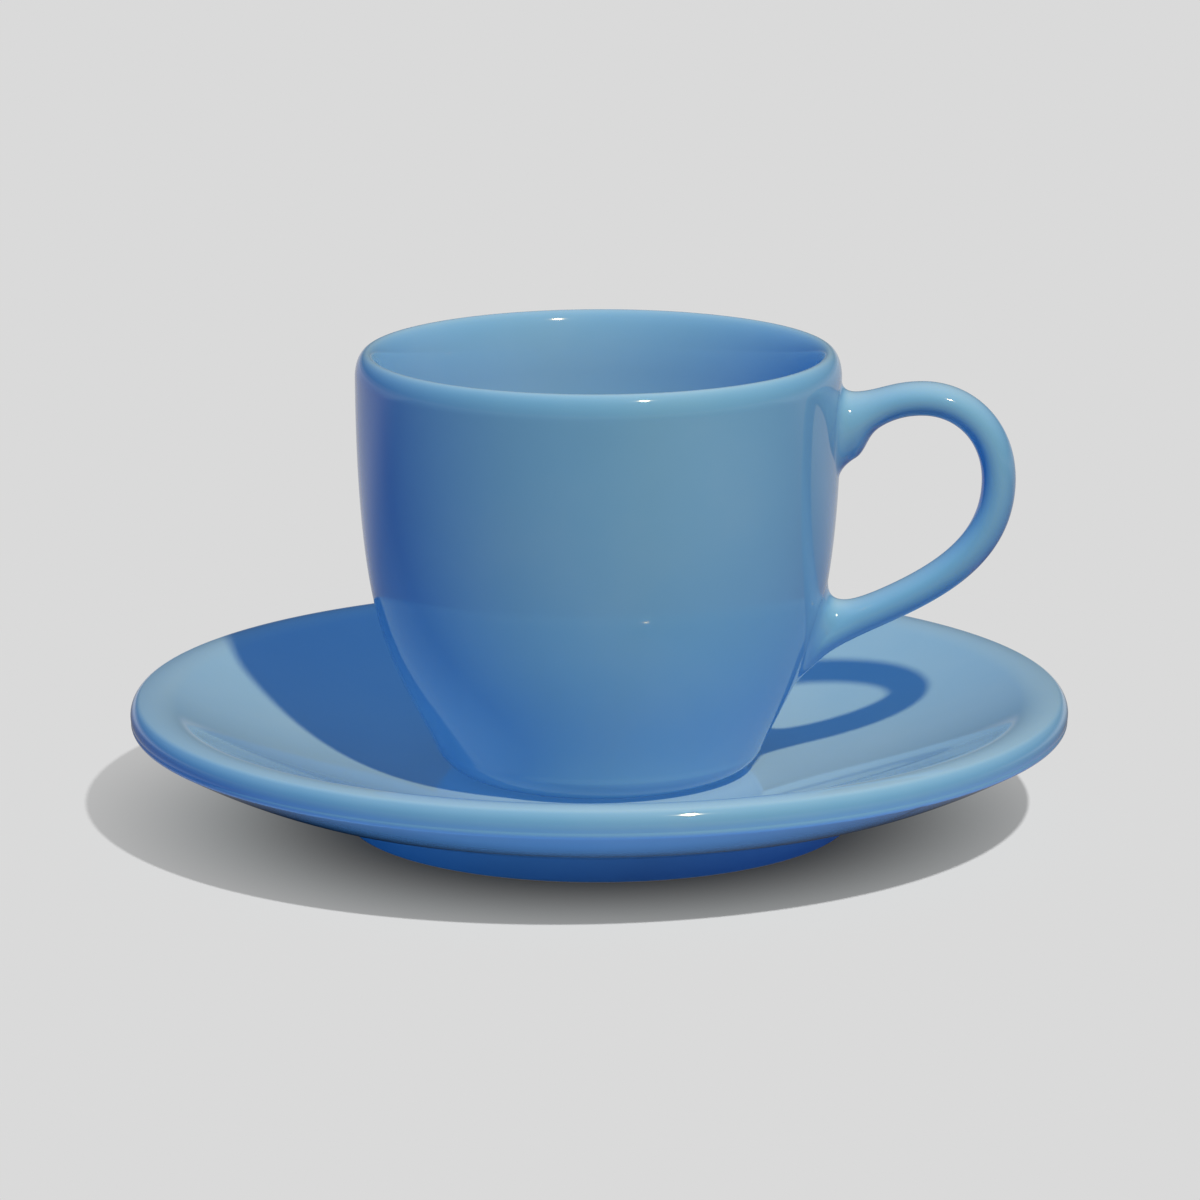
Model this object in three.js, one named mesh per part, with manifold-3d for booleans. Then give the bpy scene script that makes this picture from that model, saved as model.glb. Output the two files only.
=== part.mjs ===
// Coffee cup with its saucer, in millimetres, +Z up.
// The saucer's foot ring stands on z = 0, round the Z axis, and the cup's handle points along +X.
// Three ceramic pieces: the saucer, the cup's bowl, and the handle that is stuck on with slip.

import * as THREE from 'three';
import { mergeVertices } from 'three/addons/utils/BufferGeometryUtils.js';
import Module from 'manifold-3d';

// Saucer
const SAUCER_RADIUS = 75;
const SAUCER_LIP_ROUND = 2.5;
const SAUCER_LIP_HEIGHT = 18.2;
const SAUCER_LIP_SLOPE = THREE.MathUtils.degToRad(25);
const WELL_HEIGHT = 8.1;
const WELL_MARGIN = 6;
const DISH_PULL_WELL = 0.31;
const DISH_PULL_LIP = 0.33;
const SAUCER_FOOT_RADIUS = 40.8;
const SAUCER_FOOT_WIDTH = 3.4;
const SAUCER_FOOT_HEIGHT = 5;
const SAUCER_FOOT_DRAFT = 0.4;
const SAUCER_FOOT_ROUND = 0.6;
const SAUCER_BASE_THICKNESS = 5;
const BELLY_FILLET = 1.3;
const BELLY_SLOPE = THREE.MathUtils.degToRad(9);
const BELLY_PULL = 0.38;

// Bowl of the cup, with heights measured from its own foot
const CUP_HEIGHT = 67.6;
const RIM_RADIUS = 38.55;
const WALL = 3.9;
const LIP_HEIGHT = 4;
const CUP_FOOT_RADIUS = 20;
const CUP_FOOT_WIDTH = 3;
const CUP_FOOT_RECESS = 1.8;
const BASE_THICKNESS = 3.9;
const BASE_ROUND = 7;
const INSIDE_ROUND = 10;
const WALL_LEAN = THREE.MathUtils.degToRad(25.7);
const WALL_PULL_LOW = 0.26;
const WALL_PULL_HIGH = 0.7;

// Handle, with its centre line in the XZ plane
const CREST_DROP = 7.1;
const CREST_REACH = 12.9;
const GRIP_REACH = 24.9;
const GRIP_DROP = 12.95;
const UPPER_ROOT_DROP = 11.8;
const UPPER_ROOT_SLOPE = THREE.MathUtils.degToRad(21);
const LOWER_ROOT_RISE = 20.6;
const LOWER_ROOT_SLOPE = THREE.MathUtils.degToRad(43);
const GRIP_THICKNESS = 5.4;
const GRIP_WIDTH = 7.4;
// Roots: reach from the centre line to the outside and the inside of the loop, and the lengths of the swelling
const UPPER_ROOT_OUTSIDE = 6.1;
const UPPER_ROOT_INSIDE = 5.5;
const UPPER_ROOT_WIDTH = 10.4;
const UPPER_FLARE = 4.8;
const UPPER_FLARE_INSIDE = 2.9;
const LOWER_ROOT_OUTSIDE = 2.85;
const LOWER_ROOT_INSIDE = 5.5;
const LOWER_ROOT_WIDTH = 9.6;
const LOWER_FLARE = 6.3;
// Pulls of the centre line's curves, as shares of the distance that each curve covers
const UPPER_ROOT_PULL = 0.35;
const CREST_PULL_IN = 0.48;
const CREST_PULL_OUT = 0.56;
const GRIP_PULL_UP = 0.59;
const GRIP_PULL_DOWN = 0.65;
const LOWER_ROOT_PULL = 0.3;

// Clearances: the layer of slip under each end of the handle, and the cup's seat on the saucer
const SLIP_GAP = 0.3;
const SEAT_GAP = 0.3;

// Fineness of the surfaces
const TURN_STEPS = 52;
const LONG_STEPS = 9;
const SHORT_STEPS = 5;
const FILLET_STEPS = 3;
const HANDLE_STEPS = 16;
const HANDLE_SIDES = 20;
const HALVINGS = 40;
const SAME_POINT = 1e-4;

const GLAZE = { color: 0x5b8fb9, roughness: 0.12, metalness: 0 };

const at = (radius, height) => new THREE.Vector2(radius, height);
const along = (angle) => at(Math.cos(angle), Math.sin(angle));

// Point that lies a distance from a start, at an angle from the outward direction
function step(start, angle, distance) {
  return start.clone().addScaledVector(along(angle), distance);
}

// Part of an ellipse in a profile, anticlockwise or clockwise from one angle to another
function arc(centre, radii, from, to, steps = SHORT_STEPS) {
  const clockwise = to < from;
  const curve = new THREE.EllipseCurve(centre.x, centre.y, radii.x, radii.y, from, to, clockwise);
  return curve.getPoints(steps);
}

// Round fillet of a profile
function round(centre, radius, from, to, steps) {
  return arc(centre, at(radius, radius), from, to, steps);
}

// Ends of several runs of points joined into one outline, with no point twice
function join(...runs) {
  const outline = [];
  for (const point of runs.flat()) {
    const last = outline[outline.length - 1];
    if (!last || last.distanceTo(point) > SAME_POINT) outline.push(point);
  }
  return outline;
}

// Solid of revolution about Z of an outline that runs from the axis underneath to the axis on top
function turn(outline) {
  const geometry = new THREE.LatheGeometry(outline, TURN_STEPS);
  return geometry.rotateX(Math.PI / 2);
}

// Saucer: flat well, rising dish, round lip, belly underneath and a foot ring with a recess
function saucerOutline() {
  const wellRadius = CUP_FOOT_RADIUS + WELL_MARGIN;
  const lipCentre = at(SAUCER_RADIUS - SAUCER_LIP_ROUND, SAUCER_LIP_HEIGHT);
  const overTop = Math.PI / 2 + SAUCER_LIP_SLOPE;
  const underneath = SAUCER_LIP_SLOPE - Math.PI / 2;
  const lip = round(lipCentre, SAUCER_LIP_ROUND, overTop, underneath, 2 * SHORT_STEPS);
  const wellEdge = at(wellRadius, WELL_HEIGHT);
  const dishWidth = lip[0].x - wellRadius;
  const dish = new THREE.CubicBezierCurve(
    wellEdge,
    step(wellEdge, 0, DISH_PULL_WELL * dishWidth),
    step(lip[0], SAUCER_LIP_SLOPE, -DISH_PULL_LIP * dishWidth),
    lip[0],
  );

  const lipEnd = lip[lip.length - 1];
  const footTop = at(SAUCER_FOOT_RADIUS + SAUCER_FOOT_DRAFT, SAUCER_FOOT_HEIGHT - BELLY_FILLET);
  const filletCentre = at(footTop.x + BELLY_FILLET, footTop.y);
  const filletStart = Math.PI / 2 + BELLY_SLOPE;
  const fillet = round(filletCentre, BELLY_FILLET, filletStart, Math.PI, FILLET_STEPS);
  const bellyWidth = lipEnd.x - fillet[0].x;
  const belly = new THREE.CubicBezierCurve(
    lipEnd,
    step(lipEnd, SAUCER_LIP_SLOPE, -BELLY_PULL * bellyWidth),
    step(fillet[0], BELLY_SLOPE, BELLY_PULL * bellyWidth),
    fillet[0],
  );

  const footInside = SAUCER_FOOT_RADIUS - SAUCER_FOOT_WIDTH;
  const recess = WELL_HEIGHT - SAUCER_BASE_THICKNESS;
  const outerEdge = at(SAUCER_FOOT_RADIUS - SAUCER_FOOT_ROUND, SAUCER_FOOT_ROUND);
  const innerEdge = at(footInside + SAUCER_FOOT_ROUND, SAUCER_FOOT_ROUND);
  const recessEdge = at(footInside - SAUCER_FOOT_ROUND, recess - SAUCER_FOOT_ROUND);
  return join(
    [at(0, WELL_HEIGHT)],
    dish.getPoints(LONG_STEPS),
    lip,
    belly.getPoints(LONG_STEPS),
    fillet,
    round(outerEdge, SAUCER_FOOT_ROUND, 0, -Math.PI / 2, FILLET_STEPS),
    round(innerEdge, SAUCER_FOOT_ROUND, -Math.PI / 2, -Math.PI, FILLET_STEPS),
    round(recessEdge, SAUCER_FOOT_ROUND, 0, Math.PI / 2, FILLET_STEPS),
    [at(0, recess)],
  ).reverse();
}

// Outer wall of the bowl, from the top of its rounded base to the bottom of its lip
function wallCurve() {
  const foot = at(
    CUP_FOOT_RADIUS + BASE_ROUND * Math.cos(WALL_LEAN),
    BASE_ROUND * (1 - Math.sin(WALL_LEAN)),
  );
  const top = at(RIM_RADIUS, CUP_HEIGHT - LIP_HEIGHT);
  const rise = top.y - foot.y;
  return new THREE.CubicBezierCurve(
    foot,
    step(foot, Math.PI / 2 - WALL_LEAN, WALL_PULL_LOW * rise),
    step(top, -Math.PI / 2, WALL_PULL_HIGH * rise),
    top,
  );
}

const wall = wallCurve();

// Direction that leaves the wall at a share of its length, square to it
function wallNormal(share) {
  const tangent = wall.getTangent(share);
  return at(tangent.y, -tangent.x);
}

// Point a distance outside the wall, or inside it where the distance is below zero
function offWall(share, distance) {
  return wall.getPoint(share).addScaledVector(wallNormal(share), distance);
}

// Share of the wall at which a value that grows with it comes to zero
function shareWhere(value) {
  let low = 0;
  let high = 1;
  for (let i = 0; i < HALVINGS; i += 1) {
    const middle = (low + high) / 2;
    if (value(middle) < 0) low = middle;
    else high = middle;
  }
  return low;
}

const wallShareAt = (height) => shareWhere((share) => wall.getPoint(share).y - height);

// Outside of the bowl from its foot ring to its lip, moved out by a distance
function outsideRun(distance) {
  const base = round(
    at(CUP_FOOT_RADIUS, BASE_ROUND),
    BASE_ROUND + distance,
    -Math.PI / 2,
    -WALL_LEAN,
  );
  const rise = [];
  for (let i = 0; i <= LONG_STEPS; i += 1) rise.push(offWall(i / LONG_STEPS, distance));
  return join(base, rise);
}

// Inside of the bowl from its lip down to the middle of its floor
function insideRun() {
  const floor = CUP_FOOT_RECESS + BASE_THICKNESS;
  const cornerCentre = (share) => offWall(share, -WALL - INSIDE_ROUND);
  const cornerShare = shareWhere((share) => cornerCentre(share).y - floor - INSIDE_ROUND);
  const fall = [];
  for (let i = LONG_STEPS; i >= 0; i -= 1) {
    fall.push(offWall(cornerShare + (1 - cornerShare) * (i / LONG_STEPS), -WALL));
  }
  const side = wallNormal(cornerShare).angle() - 2 * Math.PI;
  const corner = round(cornerCentre(cornerShare), INSIDE_ROUND, side, -Math.PI / 2);
  return join(fall, corner, [at(0, floor)]);
}

// Bowl: recessed foot, rounded base, swelling wall, soft lip and hollow inside
function bowlOutline() {
  const footInside = CUP_FOOT_RADIUS - CUP_FOOT_WIDTH;
  const recessCorner = at(footInside - CUP_FOOT_RECESS, 0);
  const lipCentre = at(RIM_RADIUS - WALL / 2, CUP_HEIGHT - LIP_HEIGHT);
  return join(
    [at(0, CUP_FOOT_RECESS)],
    round(recessCorner, CUP_FOOT_RECESS, Math.PI / 2, 0, FILLET_STEPS),
    outsideRun(0),
    arc(lipCentre, at(WALL / 2, LIP_HEIGHT), 0, Math.PI, 2 * SHORT_STEPS),
    insideRun(),
  );
}

// Centre line of the handle: three curves that meet level at the crest and upright at the grip.
// Each end runs on into the bowl, far enough for its whole section to lie inside the wall.
function handleRoute() {
  const upperShare = wallShareAt(CUP_HEIGHT - UPPER_ROOT_DROP);
  const lowerShare = wallShareAt(LOWER_ROOT_RISE);
  const upper = wall.getPoint(upperShare);
  const lower = wall.getPoint(lowerShare);
  const crest = at(RIM_RADIUS + CREST_REACH, CUP_HEIGHT - CREST_DROP);
  const grip = at(RIM_RADIUS + GRIP_REACH, crest.y - GRIP_DROP);
  const toCrest = crest.x - upper.x;
  const toGrip = at(grip.x - crest.x, crest.y - grip.y);
  const toLower = at(grip.x - lower.x, grip.y - lower.y);
  const curves = [
    new THREE.CubicBezierCurve(
      upper,
      step(upper, UPPER_ROOT_SLOPE, UPPER_ROOT_PULL * toCrest),
      step(crest, Math.PI, CREST_PULL_IN * toCrest),
      crest,
    ),
    new THREE.CubicBezierCurve(
      crest,
      step(crest, 0, CREST_PULL_OUT * toGrip.x),
      step(grip, Math.PI / 2, GRIP_PULL_UP * toGrip.y),
      grip,
    ),
    new THREE.CubicBezierCurve(
      grip,
      step(grip, -Math.PI / 2, GRIP_PULL_DOWN * toLower.y),
      step(lower, LOWER_ROOT_SLOPE, LOWER_ROOT_PULL * toLower.x),
      lower,
    ),
  ];
  const sunk = (root, share, slope, thickness) => {
    const across = wallNormal(share).dot(along(slope));
    return step(root, slope, -thickness / across);
  };
  const route = [{
    point: sunk(upper, upperShare, UPPER_ROOT_SLOPE, UPPER_ROOT_OUTSIDE + UPPER_ROOT_INSIDE),
    angle: UPPER_ROOT_SLOPE,
  }];
  curves.forEach((curve, order) => {
    for (let i = order === 0 ? 0 : 1; i <= HANDLE_STEPS; i += 1) {
      const share = i / HANDLE_STEPS;
      route.push({ point: curve.getPointAt(share), angle: curve.getTangentAt(share).angle() });
    }
  });
  route.push({
    point: sunk(lower, lowerShare, LOWER_ROOT_SLOPE, LOWER_ROOT_OUTSIDE + LOWER_ROOT_INSIDE),
    angle: LOWER_ROOT_SLOPE + Math.PI,
  });
  return route;
}

// Length along the route at each station, counted from the wall at the upper root
function routeLengths(route) {
  const lengths = [0];
  for (let i = 1; i < route.length; i += 1) {
    lengths.push(lengths[i - 1] + route[i].point.distanceTo(route[i - 1].point));
  }
  const sunk = lengths[1];
  return lengths.map((length) => Math.max(0, length - sunk));
}

// Nearness of a root at a distance along the route: one at the wall, fading over the length of its swelling
const nearness = (distance, flare) => Math.exp(-((distance / flare) ** 2));

// Half of an oval section's size at a station: the grip's, swelling toward each root
function halfSize(grip, upperRoot, lowerRoot, nearUpper, nearLower) {
  return grip + (upperRoot - grip) * nearUpper + (lowerRoot - grip) * nearLower;
}

// Loft of oval sections square to the route, closed at both ends
function handleLoft() {
  const route = handleRoute();
  const lengths = routeLengths(route);
  const end = lengths[lengths.length - 2];
  const vertices = [];
  const faces = [];
  route.forEach(({ point, angle }, station) => {
    const fromUpper = lengths[station];
    const upper = nearness(fromUpper, UPPER_FLARE);
    const upperInside = nearness(fromUpper, UPPER_FLARE_INSIDE);
    const lower = nearness(Math.max(0, end - fromUpper), LOWER_FLARE);
    const outside = halfSize(GRIP_THICKNESS / 2, UPPER_ROOT_OUTSIDE, LOWER_ROOT_OUTSIDE, upper, lower);
    const inside = halfSize(GRIP_THICKNESS / 2, UPPER_ROOT_INSIDE, LOWER_ROOT_INSIDE, upperInside, lower);
    const wide = halfSize(GRIP_WIDTH / 2, UPPER_ROOT_WIDTH / 2, LOWER_ROOT_WIDTH / 2, upper, lower);
    for (let side = 0; side < HANDLE_SIDES; side += 1) {
      const around = (2 * Math.PI * side) / HANDLE_SIDES;
      const deep = Math.cos(around) > 0 ? outside : inside;
      const outward = step(point, angle + Math.PI / 2, deep * Math.cos(around));
      vertices.push(outward.x, wide * Math.sin(around), outward.y);
    }
  });
  for (let station = 0; station < route.length - 1; station += 1) {
    for (let side = 0; side < HANDLE_SIDES; side += 1) {
      const next = (side + 1) % HANDLE_SIDES;
      const here = station * HANDLE_SIDES;
      const there = here + HANDLE_SIDES;
      faces.push(here + side, there + side, here + next);
      faces.push(here + next, there + side, there + next);
    }
  }
  const last = (route.length - 1) * HANDLE_SIDES;
  for (let side = 1; side < HANDLE_SIDES - 1; side += 1) {
    faces.push(0, side, side + 1);
    faces.push(last, last + side + 1, last + side);
  }
  const geometry = new THREE.BufferGeometry();
  geometry.setAttribute('position', new THREE.Float32BufferAttribute(vertices, 3));
  geometry.setIndex(faces);
  return geometry;
}

// Full bowl without its hollow, grown by the layer of slip
function slipForm() {
  const outside = outsideRun(SLIP_GAP);
  const top = at(RIM_RADIUS + SLIP_GAP, CUP_HEIGHT);
  return turn(join([at(0, outside[0].y)], outside, [top, at(0, CUP_HEIGHT)]));
}

// Cut of one closed geometry by another
async function cut(geometry, tool) {
  const wasm = await Module();
  wasm.setup();
  const solid = (source) => {
    const plain = source.clone();
    plain.deleteAttribute('normal');
    plain.deleteAttribute('uv');
    const merged = mergeVertices(plain, SAME_POINT);
    const triangles = [];
    const index = merged.index.array;
    for (let i = 0; i < index.length; i += 3) {
      const [a, b, c] = index.slice(i, i + 3);
      if (a !== b && b !== c && c !== a) triangles.push(a, b, c);
    }
    return new wasm.Manifold(new wasm.Mesh({
      numProp: 3,
      vertProperties: new Float32Array(merged.attributes.position.array),
      triVerts: new Uint32Array(triangles),
    }));
  };
  const mesh = solid(geometry).subtract(solid(tool)).getMesh();
  const result = new THREE.BufferGeometry();
  result.setAttribute('position', new THREE.BufferAttribute(mesh.vertProperties.slice(), 3));
  result.setIndex(new THREE.BufferAttribute(mesh.triVerts.slice(), 1));
  return result;
}

// Named piece with a glaze of its own
function piece(name, geometry) {
  const mesh = new THREE.Mesh(geometry, new THREE.MeshStandardMaterial(GLAZE));
  mesh.name = name;
  return mesh;
}

const cup = new THREE.Group();
cup.position.z = WELL_HEIGHT + SEAT_GAP;
cup.add(piece('cup_body', turn(bowlOutline())));
cup.add(piece('handle', await cut(handleLoft(), slipForm())));

const part = new THREE.Group();
part.add(piece('saucer', turn(saucerOutline())));
part.add(cup);

export default part;
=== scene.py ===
"""Coffee cup with its saucer, in blue glazed ceramic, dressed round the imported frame.

Lengths are in metres, +Z is up and the handle points along +X. The saucer and the bowl are profiles turned
about Z, and the handle is an oval section carried along a curved path, with a fillet of slip at each root.
"""

import math

import bpy
import numpy as np
from mathutils import Matrix, Vector


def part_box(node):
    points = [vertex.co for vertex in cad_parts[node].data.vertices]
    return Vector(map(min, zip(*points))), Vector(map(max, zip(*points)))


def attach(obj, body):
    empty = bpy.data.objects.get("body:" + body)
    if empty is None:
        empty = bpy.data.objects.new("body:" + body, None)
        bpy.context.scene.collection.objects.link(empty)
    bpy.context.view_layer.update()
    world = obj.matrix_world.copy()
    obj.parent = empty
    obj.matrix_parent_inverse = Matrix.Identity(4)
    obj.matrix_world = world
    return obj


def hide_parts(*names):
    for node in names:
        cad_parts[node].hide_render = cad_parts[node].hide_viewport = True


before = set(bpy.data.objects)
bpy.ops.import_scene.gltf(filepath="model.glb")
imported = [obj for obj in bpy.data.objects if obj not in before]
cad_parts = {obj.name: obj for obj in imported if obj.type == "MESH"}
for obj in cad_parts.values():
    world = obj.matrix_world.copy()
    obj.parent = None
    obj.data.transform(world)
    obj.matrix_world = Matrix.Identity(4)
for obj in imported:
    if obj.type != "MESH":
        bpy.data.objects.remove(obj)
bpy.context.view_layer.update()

MM = 0.001
MICRON = 1e-6

# Sizes that the frame gives
SAUCER_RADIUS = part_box("saucer")[1].x
SAUCER_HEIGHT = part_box("saucer")[1].z
CUP_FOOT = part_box("cup_body")[0].z
CUP_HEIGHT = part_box("cup_body")[1].z - CUP_FOOT
RIM_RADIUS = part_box("cup_body")[1].x
HANDLE_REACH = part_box("handle")[1].x

# Saucer, with the arcs of its lip as a radius in millimetres and the angle in degrees that it ends at
DISH_SLOPE = math.radians(25)
LIP_ARCS = ((10.0, 80), (1.4, 44), (2.9, -14), (-0.6, 12), (0.8, -60))
LIP_UNDER = math.radians(LIP_ARCS[-1][1])
SEAT_GAP = 0.3 * MM
WELL_HEIGHT = CUP_FOOT - SEAT_GAP
WELL_RADIUS = 26 * MM
DISH_PULL_WELL = 0.31
DISH_PULL_LIP = 0.33
SAUCER_FOOT_RADIUS = 40.8 * MM
SAUCER_FOOT_WIDTH = 3.4 * MM
SAUCER_FOOT_HEIGHT = 5 * MM
SAUCER_FOOT_DRAFT = 0.4 * MM
SAUCER_FOOT_ROUND = 0.6 * MM
SAUCER_BASE = 5 * MM
BELLY_FILLET = 1.3 * MM
BELLY_SLOPE = math.radians(9)
BELLY_PULL = 0.38

# Bowl of the cup, with heights from its own foot
WALL = 3.9 * MM
LIP_HEIGHT = 4 * MM
INNER_LIP = (3.0 * MM, 10.0 * MM)
CUP_FOOT_RADIUS = 20 * MM
CUP_FOOT_WIDTH = 3 * MM
CUP_FOOT_RECESS = 1.8 * MM
CUP_BASE = 3.9 * MM
BASE_ROUND = 7 * MM
INSIDE_ROUND = 10 * MM
WALL_LEAN = math.radians(25.7)
WALL_PULL_LOW = 0.26
WALL_PULL_HIGH = 0.7
FOOT_REST = 0.02 * MM

# Handle, with its path in the XZ plane
CREST_DROP = 7.1 * MM
CREST_REACH = 12.9 * MM
GRIP_DROP = 12.95 * MM
UPPER_ROOT_DROP = 11.8 * MM
UPPER_ROOT_SLOPE = math.radians(21)
LOWER_ROOT_RISE = 20.6 * MM
LOWER_ROOT_SLOPE = math.radians(43)
GRIP_THICKNESS = 5.4 * MM
GRIP_WIDTH = 7.4 * MM
UPPER_ROOT_OUTSIDE = 6.1 * MM
UPPER_ROOT_INSIDE = 5.5 * MM
UPPER_ROOT_WIDTH = 10.4 * MM
UPPER_FLARE = 4.8 * MM
UPPER_FLARE_INSIDE = 2.9 * MM
LOWER_ROOT_OUTSIDE = 2.85 * MM
LOWER_ROOT_INSIDE = 5.5 * MM
LOWER_ROOT_WIDTH = 9.6 * MM
LOWER_FLARE = 6.3 * MM
UPPER_ROOT_PULL = 0.35
CREST_PULL_IN = 0.48
CREST_PULL_OUT = 0.56
GRIP_PULL_UP = 0.59
GRIP_PULL_DOWN = 0.65
LOWER_ROOT_PULL = 0.3

# Fillets of slip at the handle's roots, outside and inside the loop: length on the handle, width on the wall
UPPER_SLIP = np.array([[2.2, 2.0], [2.65, 2.1]]) * MM
LOWER_SLIP = np.array([[2.0, 1.8], [5.4, 5.1]]) * MM
SLIP_EDGE_SUNK = 0.03 * MM
SLIP_PLUG_SUNK = 0.8 * MM
HANDLE_SUNK = 14 * MM
SEARCH_INSIDE = 12 * MM
SEARCH_OUTSIDE = 14 * MM

# Fineness of the meshes: steps round a piece, then points along each run of its profile
SAUCER_TURNS = 300
BOWL_TURNS = 288
HANDLE_SIDES = 112
HANDLE_ROWS = 190
SLIP_ROWS = 16
SLIP_TRIES = 700
DENSE = 1600
WELL_STEPS = 22
DISH_STEPS = 64
LIP_STEPS = 14
BELLY_STEPS = 44
FILLET_STEPS = 12
EDGE_STEPS = 8
FOOT_SIDE_STEPS = 6
FOOT_STEPS = 5
RECESS_STEPS = 4
BASE_STEPS = 14
CUP_RECESS_STEPS = 12
BASE_ROUND_STEPS = 26
WALL_STEPS = 64
RIM_STEPS = 20
INNER_LIP_STEPS = 30
INSIDE_STEPS = 50
INSIDE_ROUND_STEPS = 24
SAME_PLACE = 1e-7

# Glaze: linear colours, painted light that makes it paler on surfaces facing up and inside the cup, and the
# ring of bare clay
GLAZE_BLUE = (0.090, 0.245, 0.468, 1.0)
GLAZE_PALE_AND_LIT = (0.180, 0.312, 0.486, 1.0)
GLAZE_DEEP = (0.050, 0.170, 0.370, 1.0)
SPECK_BROWN = (0.020, 0.035, 0.060, 1.0)
BARE_CLAY = (0.62, 0.57, 0.50, 1.0)
GLAZE_ROUGH = 0.05
CLAY_ROUGH = 0.8
TOP_LIGHT_POWER = 3.0
INSIDE_PAINTED_LIGHT = 0.25
INSIDE_FADE = 3 * MM
BARE_SOFT = 0.5 * MM
BARE_HEIGHT = 0.12 * MM
BARE_FADE = 0.1 * MM
CUP_BARE_PAST = 0.8 * MM

# Marks and skin of the glaze, with heights in microns
SPECK_SCALE = 95.0
SPECK_SIZE = 0.016
PIT_SCALE = 150.0
PIT_SIZE = 0.018
PIT_SHADE = 0.55
PIT_ROUGH = 0.25
PIT_DEPTH = 12.0
MARK_STRENGTH = 0.75
SWELL_SCALE = 48.0
PEEL_SCALE = 620.0
CUP_GLAZE = {
    "cloud_scale": 38.0,
    "cloud_amount": 0.5,
    "specks": 0.05,
    "pits": 0.05,
    "swell": 26.0,
    "peel": 1.6,
    "ring_scale": 420.0,
    "rings": 1.6,
}
SAUCER_GLAZE = dict(CUP_GLAZE, ring_scale=360.0, rings=1.0, peel=0.8, swell=18.0)
HANDLE_GLAZE = dict(CUP_GLAZE, rings=0.0)

# View of the photograph, with the frame taken as one unit wide
VIEW_DISTANCE = 0.930
VIEW_HEIGHT = math.radians(13.035)
VIEW_TURN = math.radians(4.5)
VIEW_ROLL = math.radians(0.147)
VIEW_TARGET = Vector((0, 0, 35.45 * MM))
VIEW_FOCAL = 5822 / 1200
VIEW_SHIFT = 1.035 / 1200
SENSOR = 36

# Light: a small warm key on the pieces, its plain twin on the floor, cool surroundings, and soft fills
KEY_PLACE = Vector((0.399, -0.661, 0.919))
KEY_RADIUS = 0.020
KEY_POWER = 100.0
KEY_COLOUR = (1.0, 0.73, 0.345)
SHADE_COLOUR = (0.1, 0.18, 0.36)
BACKGROUND = 0.701
WORLD_GLOSS = 0.05
HORIZON = (0.0, 0.1)
FILLS = {
    "fill_top": ((0, 0, 1), (0.17, 0.31, 0.35)),
    "fill_left": ((-1, -0.3, 0.3), (0.0, 0.13, 0.32)),
    "fill_right": ((1, -0.3, 0.3), (0.0, 0.05, 0.22)),
    "fill_low": ((0, -0.4, -1), (0.13, 0.16, 0.22)),
}

# Floor: its key light against open shade, its glow out from the foot, and what the piece sees of it
FLOOR_SIZE = 6.0
FLOOR_KEY_SHARE = 20.0
FLOOR_GLOW = 0.5
GLOW_REACH = (0.029, 0.095)
EVEN_REACH = (0.11, 0.17)
FLOOR_BOUNCE = 0.1
UNDER_COLOUR = (1.6, 2.0, 2.6)
UNDER_START = (0.052, 0.068)
UNDER_END = (0.076, 0.105)
FLOOR_GLOSS = 0.2
NEAR_GLOSS = 0.4
GLOSS_START = (0.050, 0.084)
GLOSS_END = (0.09, 0.11)
POOL_PLACE = Vector((0.22, -0.20, 0))
POOL_REACH = 0.16
POOL_GLOSS = 0.35
BEHIND_REACH = (0.05, 0.2)
BEHIND_GLOSS = 0.35


def arc(centre, radii, start, end, count):
    """Centre plus the two radii times the cosine and sine of angles that run evenly from start to end."""
    angle = np.linspace(start, end, count)
    return np.stack([centre[0] + radii[0] * np.cos(angle), centre[1] + radii[1] * np.sin(angle)], 1)


def bezier(p0, p1, p2, p3, count):
    """Cubic curve: the four points weighted by the terms of ((1 - t) + t) cubed, for t from 0 to 1."""
    t = np.linspace(0, 1, count)[:, None]
    s = 1 - t
    points = [np.asarray(p, float) for p in (p0, p1, p2, p3)]
    return s**3 * points[0] + 3 * s**2 * t * points[1] + 3 * s * t**2 * points[2] + t**3 * points[3]


def ahead(point, angle, distance):
    """The point moved by a distance along an angle from the outward direction."""
    return np.array([point[0] + distance * math.cos(angle), point[1] + distance * math.sin(angle)])


def line(start, end, count):
    """Points spaced evenly from start to end."""
    t = np.linspace(0, 1, count)[:, None]
    return (1 - t) * np.asarray(start, float) + t * np.asarray(end, float)


def join(*runs):
    """Runs of points put end to end, leaving out a point that repeats the one before it."""
    points = np.concatenate(runs)
    apart = np.linalg.norm(np.diff(points, axis=0), axis=1) > SAME_PLACE
    return points[np.concatenate([[True], apart])]


def lengths(points):
    """Length along a run of points: the running sum of the distances between neighbours."""
    return np.concatenate([[0], np.cumsum(np.linalg.norm(np.diff(points, axis=0), axis=1))])


def saucer_lip():
    """Arcs that follow on from each other: a wide roll off the dish, a tight turn, a rolled face.

    A hollow arc, which has a negative radius, leads from the face into a bead. The run is then moved to the
    saucer's rim and height.
    """
    angle = math.pi / 2 + DISH_SLOPE
    end = np.zeros(2)
    runs = []
    for radius, stop in LIP_ARCS:
        centre = ahead(end, angle, -radius * MM)
        runs.append(arc(centre, (radius * MM, radius * MM), angle, math.radians(stop), LIP_STEPS))
        angle = math.radians(stop)
        end = runs[-1][-1]
    lip = join(*runs)
    return lip + np.array([SAUCER_RADIUS, SAUCER_HEIGHT]) - lip.max(axis=0)


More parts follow.
